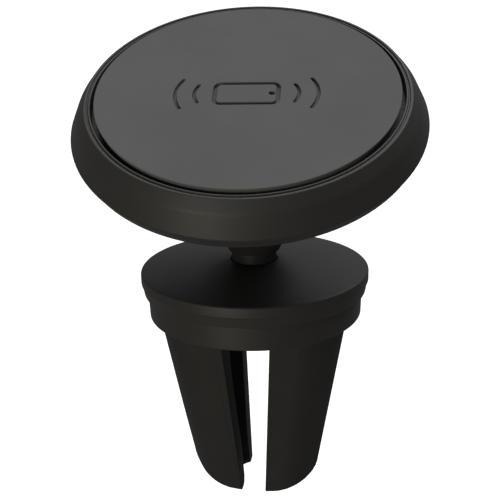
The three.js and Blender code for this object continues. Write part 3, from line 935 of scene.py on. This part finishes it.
def arm_pocket(node, play, top, foot=None):
    """A tool shaped like a spring arm grown by play, from its tip, or from foot, up to top."""
    turn = arm_turn(node)
    back = Matrix.Rotation(-turn, 3, "Z")
    flat = [back @ p for p in points_of(node)]
    low = min(p.z for p in flat)
    half_width = max(abs(p.y) for p in flat) + play
    middle = (low + max(p.z for p in flat)) / 2
    tip = [p.x for p in flat if p.z < middle]
    root = [p.x for p in flat if p.z > middle]
    root_foot = min(p.z for p in flat if p.z > middle)
    near = min(root) - play
    far = max(root) + play
    outline = [(min(tip) - play, low - play), (max(tip) + play, low - play), (far, root_foot)]
    outline += [(far, top), (near, top), (near, root_foot)]
    if foot is not None:
        outline = [(near, foot), (far, foot), (far, top), (near, top)]
    body = bmesh.new()
    body.faces.new([body.verts.new((across, -half_width, level)) for across, level in outline])
    thickened(body, (0, 2 * half_width, 0))
    body.transform(Matrix.Rotation(turn, 4, "Z"))
    return body


def clip_plate():
    """The hub inside the flange and collar, with a pocket for the root of each arm."""
    screw_hole = 1.8
    boss = 4.6
    arm_play = 0.3
    underside = RIM - 3.9
    seat = CUP_LOW - 0.15
    blank = spun([
        (screw_hole, HUB_LOW, 0.15),
        (boss, HUB_LOW, 0.25),
        (boss, underside, 0.3),
        (HUB_RADIUS, underside, 0.15),
        (HUB_RADIUS, HUB_TOP, 0.15),
        (STEM_HOLE, HUB_TOP, 0.1),
        (STEM_HOLE, seat, 0.05),
        (screw_hole, seat, 0.05),
    ])
    tools = []
    for node in ARMS:
        top = span(node)[1] + arm_play
        tools.append(arm_pocket(node, arm_play, top, underside - TOOL_MARGIN))
    body = combined(blank, tools, "DIFFERENCE")
    piece(body, "clip_plate", "base", "black_plastic", ["clip_hub"])


def socket_head_screw():
    """The screw up into the stem: knurled head, hexagon key hole and threaded shank."""
    low, high, radius = span("stem_screw")
    seat = low + 2
    facets = 72
    key_corner = 1.45
    key_depth = 1.2
    body = spun([
        (0, low),
        (radius, low, 0.15),
        (radius, seat, 0.05),
        (THREAD_RADIUS, seat, 0.05),
        *threaded(seat + 0.4, high - 0.4, THREAD_RADIUS),
        (1.1, high - 0.1, 0.05),
        (0, high - 0.1),
    ], False, facets)
    wall = [f for f in body.faces if abs(f.normal.z) < 0.01 and wall_radius(f) > radius - 0.02]
    ridges = [f for f in wall if facet_number(f, facets) % 2 == 0]
    bmesh.ops.inset_individual(body, faces=ridges, thickness=0.03, depth=-0.05)
    key = drum(key_corner, low - TOOL_MARGIN, low + key_depth, facets=6)
    body = combined(body, [key], "DIFFERENCE")
    piece(body, "socket_head_screw", "base", "plated_steel", ["stem_screw"])


# ---- Clip ----

LEG_LOW, LEG_TOP, _ = span("grip_leg_1")
ARM_PLAY = 0.2
LEG_SHOULDER = LEG_LOW + 4.1
LEG_TIP_ROUNDING = 3.7
LEG_EDGE = 0.16
LEG_CREASE = 0.5
LEG_BORE = 4.8
FLAT_ROUNDING = 4.5
FLAT_STEPS = 7
FLAT_STEP_DEGREES = 9
QUARTERS = ((1, 1), (-1, 1), (-1, -1), (1, -1))


def leg_measure(level, reach):
    """The extreme of a measure over the first leg's corners near a level."""
    return max(reach(p) for p in points_of("grip_leg_1") if abs(p.z - level) < 0.02)


def leg_line(low, reach):
    """A measure of the first leg at a low level and at its top, as (level, size) pairs."""
    return [(level, leg_measure(level, reach)) for level in (low, LEG_TOP)]


OUTER = leg_line(LEG_SHOULDER, lambda p: math.hypot(p.x, p.y))
FLAT = leg_line(LEG_SHOULDER, lambda p: p.y)
SLOT = [(level, -size) for level, size in leg_line(LEG_LOW, lambda p: -p.x)]


def along(line, level):
    """The size at a level on the straight line through two (level, size) pairs."""
    (low, small), (high, large) = line
    return small + (large - small) * (level - low) / (high - low)


def leg_blank():
    """The turned body that all four legs are cut from."""
    return spun([
        (2.9, LEG_LOW, 0.3),
        (along(OUTER, LEG_LOW), LEG_LOW, LEG_TIP_ROUNDING),
        (along(OUTER, LEG_TOP), LEG_TOP, 0.15),
        (LEG_BORE, LEG_TOP, 0.1),
        (LEG_BORE, LEG_TOP - 2.5, 1),
        (4.4, LEG_TOP - 9.5, 2),
        (2.6, LEG_TOP - 19.5, 1),
        (2.5, LEG_LOW + 0.9, 0.3),
    ], True, 120)


def cut_to(body, place, turn):
    """Trims a body to the plane that touches place(level) and faces the direction turn."""
    out = Vector((math.cos(turn), math.sin(turn), 0))
    side = Vector((-out.y, out.x, 0))
    low = place(LEG_LOW)
    rise = place(LEG_TOP) - low
    trim(body, low, side.cross(rise).normalized())


def slot_cut(body, turn):
    """Trims a leg to the slot face that looks along turn."""
    out = Vector((math.cos(turn), math.sin(turn), 0))
    cut_to(body, lambda level: Vector((0, 0, level)) - out * along(SLOT, level), turn)


def flat_cuts(body, front, side):
    """Trims a leg to its flat face, and to the planes that round it into the turned side."""
    for step in range(FLAT_STEPS):
        lean = math.radians(90 - FLAT_STEP_DEGREES * step)
        turn = math.atan2(front * math.sin(lean), side * math.cos(lean))
        cut_to(body, lambda level: round_middle(level, front, side) + round_reach(turn), turn)


def round_middle(level, front, side):
    """The middle of the rounding between the flat face and the turned side, at a level."""
    inward = along(FLAT, level) - FLAT_ROUNDING
    reach = along(OUTER, level) - FLAT_ROUNDING
    return Vector((side * math.sqrt(reach ** 2 - inward ** 2), front * inward, level))


def round_reach(turn):
    return Vector((math.cos(turn), math.sin(turn), 0)) * FLAT_ROUNDING


def on_slot_face(edge, sides):
    """True for an edge that lies on one of a leg's two slot faces."""
    ends = [vert.co for vert in edge.verts]
    for axis in (0, 1):
        if all(abs(p[axis] * sides[axis] - along(SLOT, p.z)) < 0.01 for p in ends):
            return True
    return False


def rubber_legs():
    """Each leg is a quarter of a turned body, flattened in front or behind and bored for its arm."""
    for number, (side, front) in enumerate(QUARTERS, 1):
        body = leg_blank()
        slot_cut(body, math.pi if side > 0 else 0)
        slot_cut(body, -front * math.pi / 2)
        flat_cuts(body, front, side)
        pocket = arm_pocket(ARMS[number - 1], ARM_PLAY, LEG_TOP + TOOL_MARGIN)
        body = combined(body, [pocket], "DIFFERENCE")
        beside_slots = [e for e in body.edges if on_slot_face(e, (side, front))]
        rounded(body, [e for e in beside_slots if e.calc_face_angle(0) > LEG_CREASE], LEG_EDGE)
        tidy(body)
        node = f"grip_leg_{number}"
        piece(body, f"rubber_leg_{number}", f"prong_{number}", "grip_rubber", [node])


def spring_arms():
    """The arms keep their CAD shape and get a nylon finish."""
    for node in ARMS:
        mesh = frame["nodes"][node].data
        mesh.materials.clear()
        mesh.materials.append(MATERIALS["nylon"])


# ---- Stage ----

FLOOR_LEVEL = -0.13
FLOOR_SIZE = 12
WORLD_STRENGTH = 0.2
BACKDROP_STRENGTH = 1.0


def make_stage():
    """A plain pale floor well below the mount, which hangs in the air as it does in a vent.

    The floor and the white backdrop are seen but hardly light the mount from below.
    """
    bpy.ops.mesh.primitive_plane_add(size=FLOOR_SIZE, location=(0, 0, FLOOR_LEVEL))
    floor = bpy.context.object
    floor.name = "floor"
    paint = Finish("pale_floor", Roughness=0.9, Specular_IOR_Level=0.1)
    paint.colour(paint.blend(paint.noise(400), grey(0.94), grey(0.95)))
    floor.data.materials.append(paint.material)
    floor.visible_diffuse = False
    floor.visible_glossy = False
    world = bpy.data.worlds.new("studio")
    world.use_nodes = True
    tree = world.node_tree
    tree.nodes["Background"].inputs["Color"].default_value = (1, 1, 1, 1)
    seen = tree.nodes.new("ShaderNodeLightPath")
    strength = tree.nodes.new("ShaderNodeMapRange")
    strength.inputs["To Min"].default_value = WORLD_STRENGTH
    strength.inputs["To Max"].default_value = BACKDROP_STRENGTH
    tree.links.new(seen.outputs["Is Camera Ray"], strength.inputs["Value"])
    tree.links.new(strength.outputs[0], tree.nodes["Background"].inputs["Strength"])
    bpy.context.scene.world = world
    bpy.context.scene.view_settings.view_transform = "Standard"


def make_light(name, kind, place, power, size, tint=(1, 1, 1)):
    """A soft lamp aimed at the mount, in millimetres; a sun's size is the angle it fills."""
    data = bpy.data.lights.new(name, kind)
    data.energy = power
    data.color = tint
    if kind == "SUN":
        data.angle = size
    else:
        data.size = size * MM
    lamp = bpy.data.objects.new(name, data)
    lamp.location = Vector(place) * MM
    lamp.rotation_euler = (-lamp.location).to_track_quat("-Z", "Y").to_euler()
    bpy.context.scene.collection.objects.link(lamp)


silicone_face()
adhesive_sheet()
bevelled_shell()
magnet_carrier()
magnets()
steel_yoke()
rear_cover()
cover_screws()
ball_and_shank()
washer("stud_washer", "lock_washer", "stud", HEAD, 1.7)
hex_nut()
flared_socket()
grip_nut()
ball_seat()
preload_disc()
crowned_flange()
collar_band()
clip_plate()
washer("stem_washer", "seat_washer", "base", BASE, 1.8)
socket_head_screw()
rubber_legs()
spring_arms()
make_stage()
make_light("overhead", "SUN", (65, 90, 300), 3.7, 1.2)
make_light("front_softbox", "AREA", (-110, -340, -20), 0.85, 130, (1, 0.92, 0.78))
